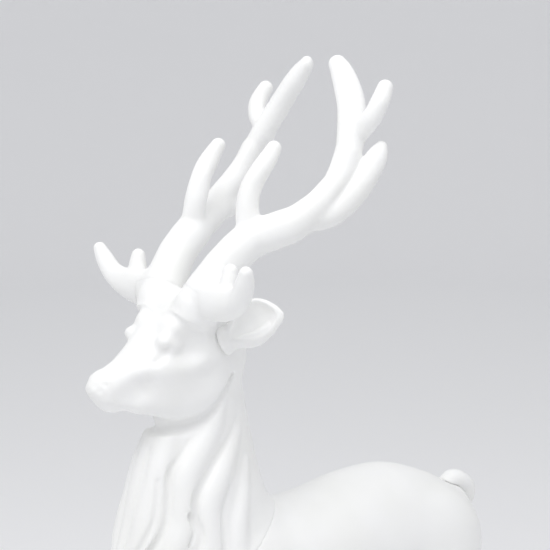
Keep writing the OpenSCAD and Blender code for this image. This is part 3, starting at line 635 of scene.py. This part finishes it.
def set_out(at, out, up, form_rows, sweep):
    """A loft laid along its own axes: out along it, up across it, and the third out of its face."""
    at, out, up = (np.array(v, float) for v in (at, out, up))
    out = out / np.linalg.norm(out)
    up = up - out * (up @ out)
    up = up / np.linalg.norm(up)
    face = np.cross(out, up)
    reach = max(abs(r[0]) for r in form_rows) + max(r[2] for r in form_rows)

    def measure(x, y, z):
        x, y, z = x - at[0], y - at[1], z - at[2]
        along = x * out[0] + y * out[1] + z * out[2]
        high = x * up[0] + y * up[1] + z * up[2]
        deep = x * face[0] + y * face[1] + z * face[2]
        high = high - np.interp(along, [row[0] for row in sweep], [row[1] for row in sweep])
        return loft_of(form_rows, lambda y, z: along, lambda y, z: deep, high, y, z)

    return at - reach, at + reach, measure


def sculpt_root(clay):
    """Beam, brow point and its palm, which skull and antler share across the seat."""
    clay.add(strand(BEAM, 4), 0)
    clay.add(strand(TINES[0], 4), 8)
    clay.add(strand(PALM, 4, 0.62, (0.25, -0.97, 0)), 10)


def sculpt_antler(clay):
    sculpt_root(clay)
    clay.add(strand(CROWN, 4, 0.76, (0.8, -0.6, 0)), 6)
    for rows in TINES[1:]:
        clay.add(strand(rows, 4), 5)
    # slow unevenness left by the hand-cut mould, none at the seat
    x, y, z = clay.everywhere()
    waves = np.sin(x / 7.3 + z / 17) * np.sin(y / 8.1 - z / 23) * np.sin(z / 11 + x / 29)
    clay.depth += 0.7 * waves * np.clip((z - 925) / 30, 0, 1)
    clay.carve(tube_along(BURR, BURR_UP, 9.15, -10, 26), 0)


def root_on_skull(clay, low, high):
    """Carries each antler's root down into the skull, and clears the palm that overhangs it."""
    root = Clay(low, high, clay.grain / GRAIN)
    sculpt_root(root)
    x, y, z = (v - c for v, c in zip(clay.everywhere(), BURR))
    up = x * BURR_UP[0] + y * BURR_UP[1] + z * BURR_UP[2]
    out = np.sqrt(np.maximum(x * x + y * y + z * z - up * up, 0))
    inset = 0.8 * np.clip(out - ROOT_R, 0, 1)
    stump = np.maximum(root.depth + inset, np.maximum(up - 4, out - ROOT_R - 3))
    clay.depth = joined(clay.depth, stump, np.clip(-up * 0.6, 0, 10))


def mirror_x(point, side):
    return np.array([side * point[0], point[1], point[2]])


def take_from(piece, other):
    """Removes from a piece the room another one takes up, so the two meet without a gap."""
    cut = piece.modifiers.new("cut", "BOOLEAN")
    cut.operation, cut.solver, cut.object = "DIFFERENCE", "MANIFOLD", other
    ready = piece.evaluated_get(bpy.context.evaluated_depsgraph_get())
    piece.data = bpy.data.meshes.new_from_object(ready)
    piece.modifiers.clear()
    piece.data.set_sharp_from_angle(angle=math.radians(40))


def saw(piece, centre, direction, radius, low, high):
    """Takes a round bar out of a piece, leaving edges crisper than the clay's grain."""
    d = np.array(direction, float) / np.linalg.norm(direction)
    across = np.cross(d, (0, 0, 1.0))
    across = across / np.linalg.norm(across)
    around = np.cross(d, across)
    turn = [2 * math.pi * k / SAW_SIDES for k in range(SAW_SIDES)]
    spokes = [across * math.cos(a) + around * math.sin(a) for a in turn]
    points = [place(*(centre + d * h + radius * spoke)) for h in (low, high) for spoke in spokes]
    after = [(k + 1) % SAW_SIDES for k in range(SAW_SIDES)]
    faces = [(k, after[k], SAW_SIDES + after[k], SAW_SIDES + k) for k in range(SAW_SIDES)]
    faces += [tuple(reversed(range(SAW_SIDES))), tuple(range(SAW_SIDES, 2 * SAW_SIDES))]
    blade = bpy.data.objects.new("saw", bpy.data.meshes.new("saw"))
    blade.data.from_pydata(points, [], faces)
    bpy.context.scene.collection.objects.link(blade)
    take_from(piece, blade)
    bpy.data.objects.remove(blade)


def make_antlers():
    clay = Clay((22, -215, 868), (202, 98, 1232), 1.6)
    sculpt_antler(clay)
    antlers = skin(clay, "antler_left_shell"), skin(clay, "antler_right_shell", flip=True)
    for side, antler in zip((1, -1), antlers):
        saw(antler, mirror_x(BURR, side), mirror_x(BURR_UP, side), ROOT_R, -70, 0.04)
    return antlers


def make_ears():
    clay = Clay((32, -205, 780), (152, -45, 908), 1.5)
    clay.add(set_out(EAR_AT, EAR_OUT, EAR_UP, EAR, EAR_SWEEP), 2)
    clay.carve(set_out(EAR_AT, EAR_OUT, EAR_UP, EAR_BOWL, BOWL_SWEEP), 4)
    clay.add(strand(EAR_FOLD, 4), 7)
    clay.keep(lambda x, y, z: 3.0 - below(EAR_AT, EAR_OUT)(x, y, z))
    clay.add(tube_along(EAR_AT, EAR_OUT, 6, -9, 5), 0)
    return skin(clay, "ear_left_shell"), skin(clay, "ear_right_shell", flip=True)


def make_tail():
    clay = Clay((0, 318, 494), (24, 386, 580), 1.5)
    clay.add(strand(TAIL, 5, 0.78, (0, 0.5, 0.86)), 0)
    for rows in TAIL_CREASES:
        clay.carve(pair(strand(rows, 4)), 2)
    low, high, measure = trunk()
    clay.carve((low, high, lambda x, y, z: measure(x, y, z) - 0.4), 0)
    return skin(clay, "tail_shell", mirrored=True)


def leg_form(rows):
    """A leg lofted up its length, from middle x, middle y, height, half width, front and back."""
    table = [(z, y, w, back, front) for x, y, z, w, front, back in rows[::-1]]
    low = (min(r[0] - r[3] for r in rows), min(r[1] - r[4] for r in rows), rows[-1][2])
    high = (max(r[0] + r[3] for r in rows), max(r[1] + r[5] for r in rows), rows[0][2])
    middle = rows[0][0]
    return low, high, lambda x, y, z: loft_of(table, lambda y, z: z, lambda y, z: y, x - middle, y, z, 2.2)


def make_leg(name, rows, top, foot, a, b):
    fx, fy = foot[0], foot[1]
    front = min(r[1] - r[4] for r in rows) - 6
    back = max(r[1] + r[5] for r in rows) + 8
    clay = Clay((fx - 34, front, -4), (fx + 34, back, top[2] + 34), 1.8)
    clay.add(leg_form(rows), 0)
    clay.keep(lambda x, y, z: z - (top[2] - 0.3))
    clay.add(oval_bore(np.array(top), (0, 0, 1), a, b, -4, 28), 0)
    # dewclaws, and the tendons behind the shin
    for s in (-1, 1):
        clay.add(egg((fx + s * 11, fy + 30, 50), (6.5, 6.5, 10), -18), 3)
        tendon = [(fx + s * out, fy + 12, z, r) for out, z, r in ((19, 230, 1), (17, 160, 4), (17, 90, 1))]
        clay.carve(strand(tendon), 5)
    # coronet above the hoof, and the cleft through it
    turns = np.linspace(0, 2 * math.pi, 17)
    coronet = [(fx + 27 * math.cos(t), fy - 4 - 34 * math.sin(t), 29, 1.6) for t in turns]
    clay.carve(strand(coronet, 2), 2)
    clay.carve(strand([(fx, fy - 44, -4, 4), (fx, fy - 36, 16, 3), (fx, fy - 26, 34, 1)]), 2)
    clay.carve(strand([(fx, fy + 30, -4, 3), (fx, fy + 26, 12, 1.5)]), 2)
    clay.keep(lambda x, y, z: 0.0 - z)
    clay.carve(tube_along((fx, fy + 4, 0), (0, 0, 1), 11.2, -3, 35.4), 0)
    return skin(clay, name + "_left_shell"), skin(clay, name + "_right_shell", flip=True)


antlers = make_antlers()
ears = make_ears()
head_piece = make_head_and_neck(antlers, ears)
torso_piece = make_torso()
tail_piece = make_tail()
front_legs = make_leg("leg_front", FRONT_LEG, FRONT_TOP, FRONT_FOOT, 19.3, 25.3)
rear_legs = make_leg("leg_rear", REAR_LEG, REAR_TOP, REAR_FOOT, 22.3, 31.3)

# ---------- finishes ----------


def linear(hexed):
    """An sRGB hex colour as linear red, green, blue, alpha."""
    parts = [int(hexed[i : i + 2], 16) / 255 for i in (1, 3, 5)]
    return [c / 12.92 if c <= 0.04045 else ((c + 0.055) / 1.055) ** 2.4 for c in parts] + [1.0]


def node(tree, kind, links=None, **settings):
    """Adds a node with its settings, and links its inputs from other nodes' outputs."""
    made = tree.nodes.new(kind)
    for name, value in settings.items():
        if hasattr(made, name):
            setattr(made, name, value)
        else:
            made.inputs[name.replace("_", " ")].default_value = value
    for name, output in (links or {}).items():
        tree.links.new(output, made.inputs[name])
    return made


GLOSS_SPREAD = 0.08


def finish_of(name, low_hex, high_hex, rough, patch_mm, grain_mm, grain_depth, **surface):
    """A surface whose colour drifts over patches and whose gloss is broken by a grain.

    Patch and grain are real sizes in millimetres; a noise of scale s repeats about every 1000 / s.
    """
    m = bpy.data.materials.new(name)
    m.use_nodes = True
    tree = m.node_tree
    tree.nodes.clear()
    at = node(tree, "ShaderNodeTexCoord").outputs["Object"]
    grain = node(tree, "ShaderNodeTexNoise", {"Vector": at}, Scale=1000 / grain_mm, Detail=3.0, Roughness=0.6)
    drift = node(tree, "ShaderNodeTexNoise", {"Vector": at}, Scale=1000 / patch_mm, Detail=2.0)
    tone = node(tree, "ShaderNodeValToRGB", {"Fac": drift.outputs["Fac"]})
    tone.color_ramp.elements[0].position = 0.3
    tone.color_ramp.elements[1].position = 0.7
    tone.color_ramp.elements[0].color = linear(low_hex)
    tone.color_ramp.elements[1].color = linear(high_hex)
    ends = {"To_Min": rough - GLOSS_SPREAD, "To_Max": rough + GLOSS_SPREAD}
    gloss = node(tree, "ShaderNodeMapRange", {"Value": grain.outputs["Fac"]}, **ends)
    height = {"Height": grain.outputs["Fac"]}
    bump = node(tree, "ShaderNodeBump", height, Strength=0.2, Distance=grain_depth / 1000)
    shader = node(tree, "ShaderNodeBsdfPrincipled", {
        "Base Color": tone.outputs["Color"],
        "Roughness": gloss.outputs["Result"],
        "Normal": bump.outputs["Normal"],
    }, **surface)
    node(tree, "ShaderNodeOutputMaterial", {"Surface": shader.outputs["BSDF"]})
    return m


def rotomoulded_polyethylene():
    """White rotomoulded polyethylene: milky, light bleeds a little way in, with a fine matt mould grain."""
    return finish_of(
        "rotomoulded_white_polyethylene", "#f3f3f1", "#fafaf9", 0.5, 110, 1.9, 0.35,
        IOR=1.51, Subsurface_Weight=0.25, Subsurface_Radius=(1.0, 1.0, 0.95), Subsurface_Scale=0.004,
    )


def moulded_nylon():
    """Black glass-filled nylon: nearly matt, with fibres dulling the skin in fine specks."""
    return finish_of("moulded_black_nylon", "#1b1c1e", "#26272a", 0.52, 26, 0.8, 0.12, IOR=1.53)


def moulded_abs():
    """Grey injection-moulded ABS: even satin with a spark-eroded texture."""
    return finish_of("moulded_grey_abs", "#85878b", "#909296", 0.42, 40, 0.9, 0.1, IOR=1.54)


def button_abs():
    """Red injection-moulded ABS, polished by fingers, so it is glossier than the housings."""
    return finish_of("moulded_red_abs", "#a81e1c", "#bb2a26", 0.26, 9, 1.4, 0.04, IOR=1.54)


def nitrile_rubber():
    """Black nitrile rubber: dry, soft and dusty, with hardly a highlight."""
    return finish_of("moulded_nitrile_rubber", "#161616", "#222221", 0.8, 14, 0.7, 0.1, IOR=1.52)


def pvc_jacket():
    """Black extruded PVC lead jacket: smooth, with a soft broken sheen."""
    return finish_of("extruded_pvc_jacket", "#1a1a1b", "#242426", 0.4, 18, 1.2, 0.05, IOR=1.53)


def zinc_plated_steel():
    """Zinc-plated steel: bright with a faint blue cast and cloudy passivation."""
    return finish_of("zinc_plated_steel", "#b9bdc3", "#ced1d5", 0.3, 3, 0.6, 0.03, Metallic=1.0)


def rolled_brass():
    """Rolled brass lamp cap: warm yellow, rubbed brighter along its threads."""
    return finish_of("rolled_brass", "#b08a45", "#cda75c", 0.32, 7, 0.9, 0.04, Metallic=1.0)


def opal_polycarbonate():
    """Opal polycarbonate bulb: milky, so the light source inside can't be made out."""
    return finish_of(
        "opal_polycarbonate_bulb", "#f6efe0", "#fbf6ea", 0.28, 30, 1.0, 0.02,
        IOR=1.58, Subsurface_Weight=0.6, Subsurface_Radius=(1.0, 0.9, 0.7), Subsurface_Scale=0.006,
    )


def clear_polycarbonate():
    """Clear polycarbonate lens, lightly frosted, so the lead end shows as a soft shadow."""
    return finish_of(
        "frosted_polycarbonate_lens", "#f4f1e8", "#faf8f2", 0.2, 12, 0.8, 0.03,
        IOR=1.58, Transmission_Weight=0.5,
    )


POLYETHYLENE = rotomoulded_polyethylene()
NYLON, ABS, RED_ABS = moulded_nylon(), moulded_abs(), button_abs()
RUBBER, JACKET = nitrile_rubber(), pvc_jacket()
STEEL, BRASS = zinc_plated_steel(), rolled_brass()
OPAL, LENS = opal_polycarbonate(), clear_polycarbonate()


def dress(piece, material, body, slot_name, *nodes):
    piece.data.materials.clear()
    piece.data.materials.append(material)
    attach(piece, body)
    if nodes:
        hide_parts(*nodes)


dress(head_piece, POLYETHYLENE, "figure", "white_shell", "neck_and_head")
dress(torso_piece, POLYETHYLENE, "figure", "white_shell", "torso")
for hand, antler, ear, front, rear in zip(("left", "right"), antlers, ears, front_legs, rear_legs):
    dress(antler, POLYETHYLENE, hand + "_antler", "white_shell", "antler_" + hand)
    dress(ear, POLYETHYLENE, "figure", "white_shell", "ear_" + hand)
    dress(front, POLYETHYLENE, "figure", "white_shell", "leg_front_" + hand)
    dress(rear, POLYETHYLENE, "figure", "white_shell", "leg_rear_" + hand)
dress(tail_piece, POLYETHYLENE, "figure", "white_shell", "tail")

CAD_FINISHES = {
    NYLON: [
        "lamp_carrier", "lamp_holder", "timer_box", "cord_gland", "antler_socket_left", "antler_socket_right",
    ],
    ABS: ["belly_flange", "neck_joint_ring", "junction_box", "antler_spigot_left", "antler_spigot_right"],
    RUBBER: [
        "carrier_gasket",
        *("hoof_plug_" + end + "_" + hand for end in ("front", "rear") for hand in ("left", "right")),
    ],
    JACKET: ["head_lead"],
    RED_ABS: ["timer_button"],
    BRASS: ["bulb_cap"],
    OPAL: ["led_bulb"],
    LENS: ["head_lamp"],
}
for material, names in CAD_FINISHES.items():
    for name in names:
        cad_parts[name].data.materials.clear()
        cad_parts[name].data.materials.append(material)


# ---------- screws ----------

SCREW_R, SCREW_HEAD_R, SCREW_HEAD_H = 2.0, 4.2, 2.5
FLANGE_BOLT_R = 55


def screw_tree():
    """Pan-head screws with a cross recess and a rolled thread, one on each point, along its aim."""
    tree = bpy.data.node_groups.new("pan_head_screws", "GeometryNodeTree")
    tree.interface.new_socket("Geometry", in_out="INPUT", socket_type="NodeSocketGeometry")
    for name in ("Shank radius", "Shank length", "Head radius", "Head height", "Thread pitch"):
        tree.interface.new_socket(name, in_out="INPUT", socket_type="NodeSocketFloat")
    tree.interface.new_socket("Material", in_out="INPUT", socket_type="NodeSocketMaterial")
    tree.interface.new_socket("Geometry", in_out="OUTPUT", socket_type="NodeSocketGeometry")
    given = node(tree, "NodeGroupInput").outputs

    def sum_of(kind, a, b):
        made = node(tree, "ShaderNodeMath", operation=kind)
        for socket, value in zip(made.inputs, (a, b)):
            if isinstance(value, float):
                socket.default_value = value
            else:
                tree.links.new(value, socket)
        return made.outputs[0]

    def raised(mesh, height):
        lift = node(tree, "ShaderNodeCombineXYZ", {"Z": height})
        moved = node(tree, "GeometryNodeTransform", {"Geometry": mesh, "Translation": lift.outputs[0]})
        return moved.outputs[0]

    head_h, head_r = given["Head height"], given["Head radius"]
    rim_h = sum_of("MULTIPLY", head_h, 0.5)
    rim = node(tree, "GeometryNodeMeshCylinder", {"Radius": head_r, "Depth": rim_h}, Vertices=36)
    crown = node(tree, "GeometryNodeMeshCone", {
        "Radius Bottom": head_r, "Radius Top": sum_of("MULTIPLY", head_r, 0.66), "Depth": rim_h,
    }, Vertices=36)
    head = node(tree, "GeometryNodeMeshBoolean", operation="UNION")
    tree.links.new(raised(rim.outputs["Mesh"], sum_of("MULTIPLY", head_h, 0.25)), head.inputs["Mesh 2"])
    tree.links.new(raised(crown.outputs["Mesh"], sum_of("MULTIPLY", head_h, 0.499)), head.inputs["Mesh 2"])
    recess = node(tree, "GeometryNodeMeshBoolean", {"Mesh 1": head.outputs["Mesh"]}, operation="DIFFERENCE")
    for long, wide in (("X", "Y"), ("Y", "X")):
        size = node(tree, "ShaderNodeCombineXYZ", {
            long: sum_of("MULTIPLY", head_r, 1.1), wide: sum_of("MULTIPLY", head_r, 0.22), "Z": head_h,
        })
        bar = node(tree, "GeometryNodeMeshCube", {"Size": size.outputs[0]})
        tree.links.new(raised(bar.outputs["Mesh"], sum_of("MULTIPLY", head_h, 1.1)), recess.inputs["Mesh 2"])
    shank = node(tree, "GeometryNodeMeshCylinder", {
        "Radius": sum_of("MULTIPLY", given["Shank radius"], 0.84), "Depth": given["Shank length"],
    }, Vertices=24)
    turns = sum_of("DIVIDE", given["Shank length"], given["Thread pitch"])
    spiral = node(tree, "GeometryNodeCurveSpiral", {
        "Rotations": turns, "Start Radius": sum_of("MULTIPLY", given["Shank radius"], 0.86),
        "End Radius": sum_of("MULTIPLY", given["Shank radius"], 0.86), "Height": given["Shank length"],
    }, Resolution=16)
    crest = node(tree, "GeometryNodeCurvePrimitiveCircle", {
        "Radius": sum_of("MULTIPLY", given["Shank radius"], 0.14),
    }, Resolution=4)
    thread = node(tree, "GeometryNodeCurveToMesh", {
        "Curve": spiral.outputs["Curve"], "Profile Curve": crest.outputs["Curve"],
    })
    whole = node(tree, "GeometryNodeJoinGeometry")
    down = sum_of("MULTIPLY", given["Shank length"], -0.5)
    tree.links.new(recess.outputs["Mesh"], whole.inputs[0])
    tree.links.new(raised(shank.outputs["Mesh"], down), whole.inputs[0])
    far_down = sum_of("MULTIPLY", given["Shank length"], -1.0)
    tree.links.new(raised(thread.outputs["Mesh"], far_down), whole.inputs[0])
    aim = node(tree, "GeometryNodeInputNamedAttribute", data_type="FLOAT_VECTOR", Name="aim")
    turned = node(tree, "FunctionNodeAlignRotationToVector", {"Vector": aim.outputs["Attribute"]}, axis="Z")
    placed = node(tree, "GeometryNodeInstanceOnPoints", {
        "Points": given["Geometry"], "Instance": whole.outputs[0], "Rotation": turned.outputs[0],
    })
    real = node(tree, "GeometryNodeRealizeInstances", {"Geometry": placed.outputs[0]})
    dressed = node(tree, "GeometryNodeSetMaterial", {
        "Geometry": real.outputs[0], "Material": given["Material"],
    })
    node(tree, "NodeGroupOutput", {"Geometry": dressed.outputs[0]})
    return tree


SCREWS = screw_tree()


def make_screws(name, seats, length):
    """Bakes one set of screws from their seats, each a place and a direction."""
    carrier = bpy.data.meshes.new(name + "_seats")
    carrier.from_pydata([place(*at) for at, aim in seats], [], [])
    aims = carrier.attributes.new("aim", "FLOAT_VECTOR", "POINT")
    for item, (at, aim) in zip(aims.data, seats):
        item.vector = aim
    source = bpy.data.objects.new(name + "_seats", carrier)
    bpy.context.scene.collection.objects.link(source)
    maker = source.modifiers.new("screws", "NODES")
    maker.node_group = SCREWS
    sizes = {
        "Shank radius": SCREW_R * MM, "Shank length": length * MM, "Head radius": SCREW_HEAD_R * MM,
        "Head height": SCREW_HEAD_H * MM, "Thread pitch": 1.4 * MM, "Material": STEEL,
    }
    for socket in SCREWS.interface.items_tree:
        if socket.in_out == "INPUT" and socket.name in sizes:
            maker[socket.identifier] = sizes[socket.name]
    ready = source.evaluated_get(bpy.context.evaluated_depsgraph_get())
    piece = bpy.data.objects.new(name, bpy.data.meshes.new_from_object(ready))
    bpy.context.scene.collection.objects.link(piece)
    bpy.data.objects.remove(source)
    return piece


def mirrored_seats(seats):
    return seats + [((-at[0], at[1], at[2]), (-aim[0], aim[1], aim[2])) for at, aim in seats]


def joint_seat(across, along_slope):
    slope = np.array([0, math.cos(JOINT_TILT), math.sin(JOINT_TILT)])
    at = JOINT_AT + np.array([across, 0, 0]) + slope * along_slope - JOINT_UP * 7.25
    return tuple(at), tuple(-JOINT_UP)


def flange_seat(degrees):
    turn = math.radians(degrees)
    at = (PORT[0] + FLANGE_BOLT_R * math.cos(turn), PORT[1] + FLANGE_BOLT_R * math.sin(turn), PORT[2] - 4.05)
    return at, (0, 0, -1)


front_seats = [((FRONT_TOP[0] + s * 27.6, FRONT_TOP[1], FRONT_TOP[2] + 15), (s, 0, 0)) for s in (-1, 1)]
rear_seats = [((REAR_TOP[0] + s * 30.4, REAR_TOP[1], REAR_TOP[2] + 15), (s, 0, 0)) for s in (-1, 1)]
flange_seats = [flange_seat(degrees) for degrees in range(45, 360, 90)]
neck_seats = [joint_seat(across, up) for across in (46, -46) for up in (92, -92)]
leg_screws = make_screws("leg_screw_set", mirrored_seats(front_seats + rear_seats), 12)
dress(leg_screws, STEEL, "figure", "screw_steel", "leg_screws")
flange_screws = make_screws("flange_screw_set", flange_seats, 16)
dress(flange_screws, STEEL, "figure", "screw_steel", "flange_screws")
neck_screws = make_screws("neck_screw_set", neck_seats, 16)
dress(neck_screws, STEEL, "figure", "screw_steel", "neck_screws")


# ---------- stage ----------


FLOOR_RADIUS = 7.0
SWEEP_RADIUS = 1.5
WALL_TOP = 3.2
STAGE_SIDES = 96


def make_stage():
    """A round pale paper floor, sweeping up into a low wall all round, so every side has a backdrop."""
    arc = [math.pi / 2 * k / 12 for k in range(13)]
    profile = [(0.001, 0.0)]
    profile += [(FLOOR_RADIUS + SWEEP_RADIUS * math.sin(a), SWEEP_RADIUS * (1 - math.cos(a))) for a in arc]
    profile.append((FLOOR_RADIUS + SWEEP_RADIUS, WALL_TOP))
    turns = [2 * math.pi * k / STAGE_SIDES for k in range(STAGE_SIDES)]
    points = np.array([(r * math.cos(t), r * math.sin(t), z) for r, z in profile for t in turns])
    faces = np.array([
        (ring * STAGE_SIDES + k, ring * STAGE_SIDES + (k + 1) % STAGE_SIDES,
         (ring + 1) * STAGE_SIDES + (k + 1) % STAGE_SIDES, (ring + 1) * STAGE_SIDES + k)
        for ring in range(len(profile) - 1) for k in range(STAGE_SIDES)
    ])
    floor = mesh_piece("studio_floor", points, faces[:, ::-1])
    m = bpy.data.materials.new("matt_grey_paper")
    m.use_nodes = True
    shader = m.node_tree.nodes["Principled BSDF"]
    shader.inputs["Base Color"].default_value = linear("#f5f5f6")
    shader.inputs["Roughness"].default_value = 0.95
    floor.data.materials.append(m)
    floor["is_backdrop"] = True


# Camera: place in design millimetres, direction of sight, then sensor and lens in millimetres
CAMERA_AT = (1701, -1248, 1173)
CAMERA_AHEAD = (-0.8028, 0.5832, -0.1242)
SENSOR_WIDTH, LENS_LENGTH = 36, 96.8
# Strength of the two softboxes in watts, and of the even light all round
KEY_WATTS, TOP_WATTS, WORLD_STRENGTH = 33, 8, 0.78


def softbox(name, at, look, size, watts):
    data = bpy.data.lights.new(name, "AREA")
    data.shape = "RECTANGLE"
    data.size, data.size_y = size
    data.energy = watts
    lamp = bpy.data.objects.new(name, data)
    lamp.location = at
    lamp.rotation_euler = (Vector(look) - Vector(at)).to_track_quat("-Z", "Y").to_euler()
    bpy.context.scene.collection.objects.link(lamp)


def make_camera():
    data = bpy.data.cameras.new("view")
    data.sensor_width = SENSOR_WIDTH
    data.lens = LENS_LENGTH
    camera = bpy.data.objects.new("view", data)
    camera.location = place(*CAMERA_AT)
    ahead = Vector(CAMERA_AHEAD)
    camera.rotation_euler = ahead.to_track_quat("-Z", "Y").to_euler()
    bpy.context.scene.collection.objects.link(camera)
    bpy.context.scene.camera = camera


make_stage()
make_camera()
centre = place(0, -60, 800)
softbox("key", (0.7, -1.5, 3.0), centre, (1.8, 1.8), KEY_WATTS)
softbox("top", (0.9, 0.5, 3.0), centre, (1.6, 1.6), TOP_WATTS)
world = bpy.data.worlds.new("studio")
world.use_nodes = True
world.node_tree.nodes["Background"].inputs["Color"].default_value = linear("#f2f3f5")
world.node_tree.nodes["Background"].inputs["Strength"].default_value = WORLD_STRENGTH
bpy.context.scene.world = world
bpy.context.scene.view_settings.view_transform = "Standard"
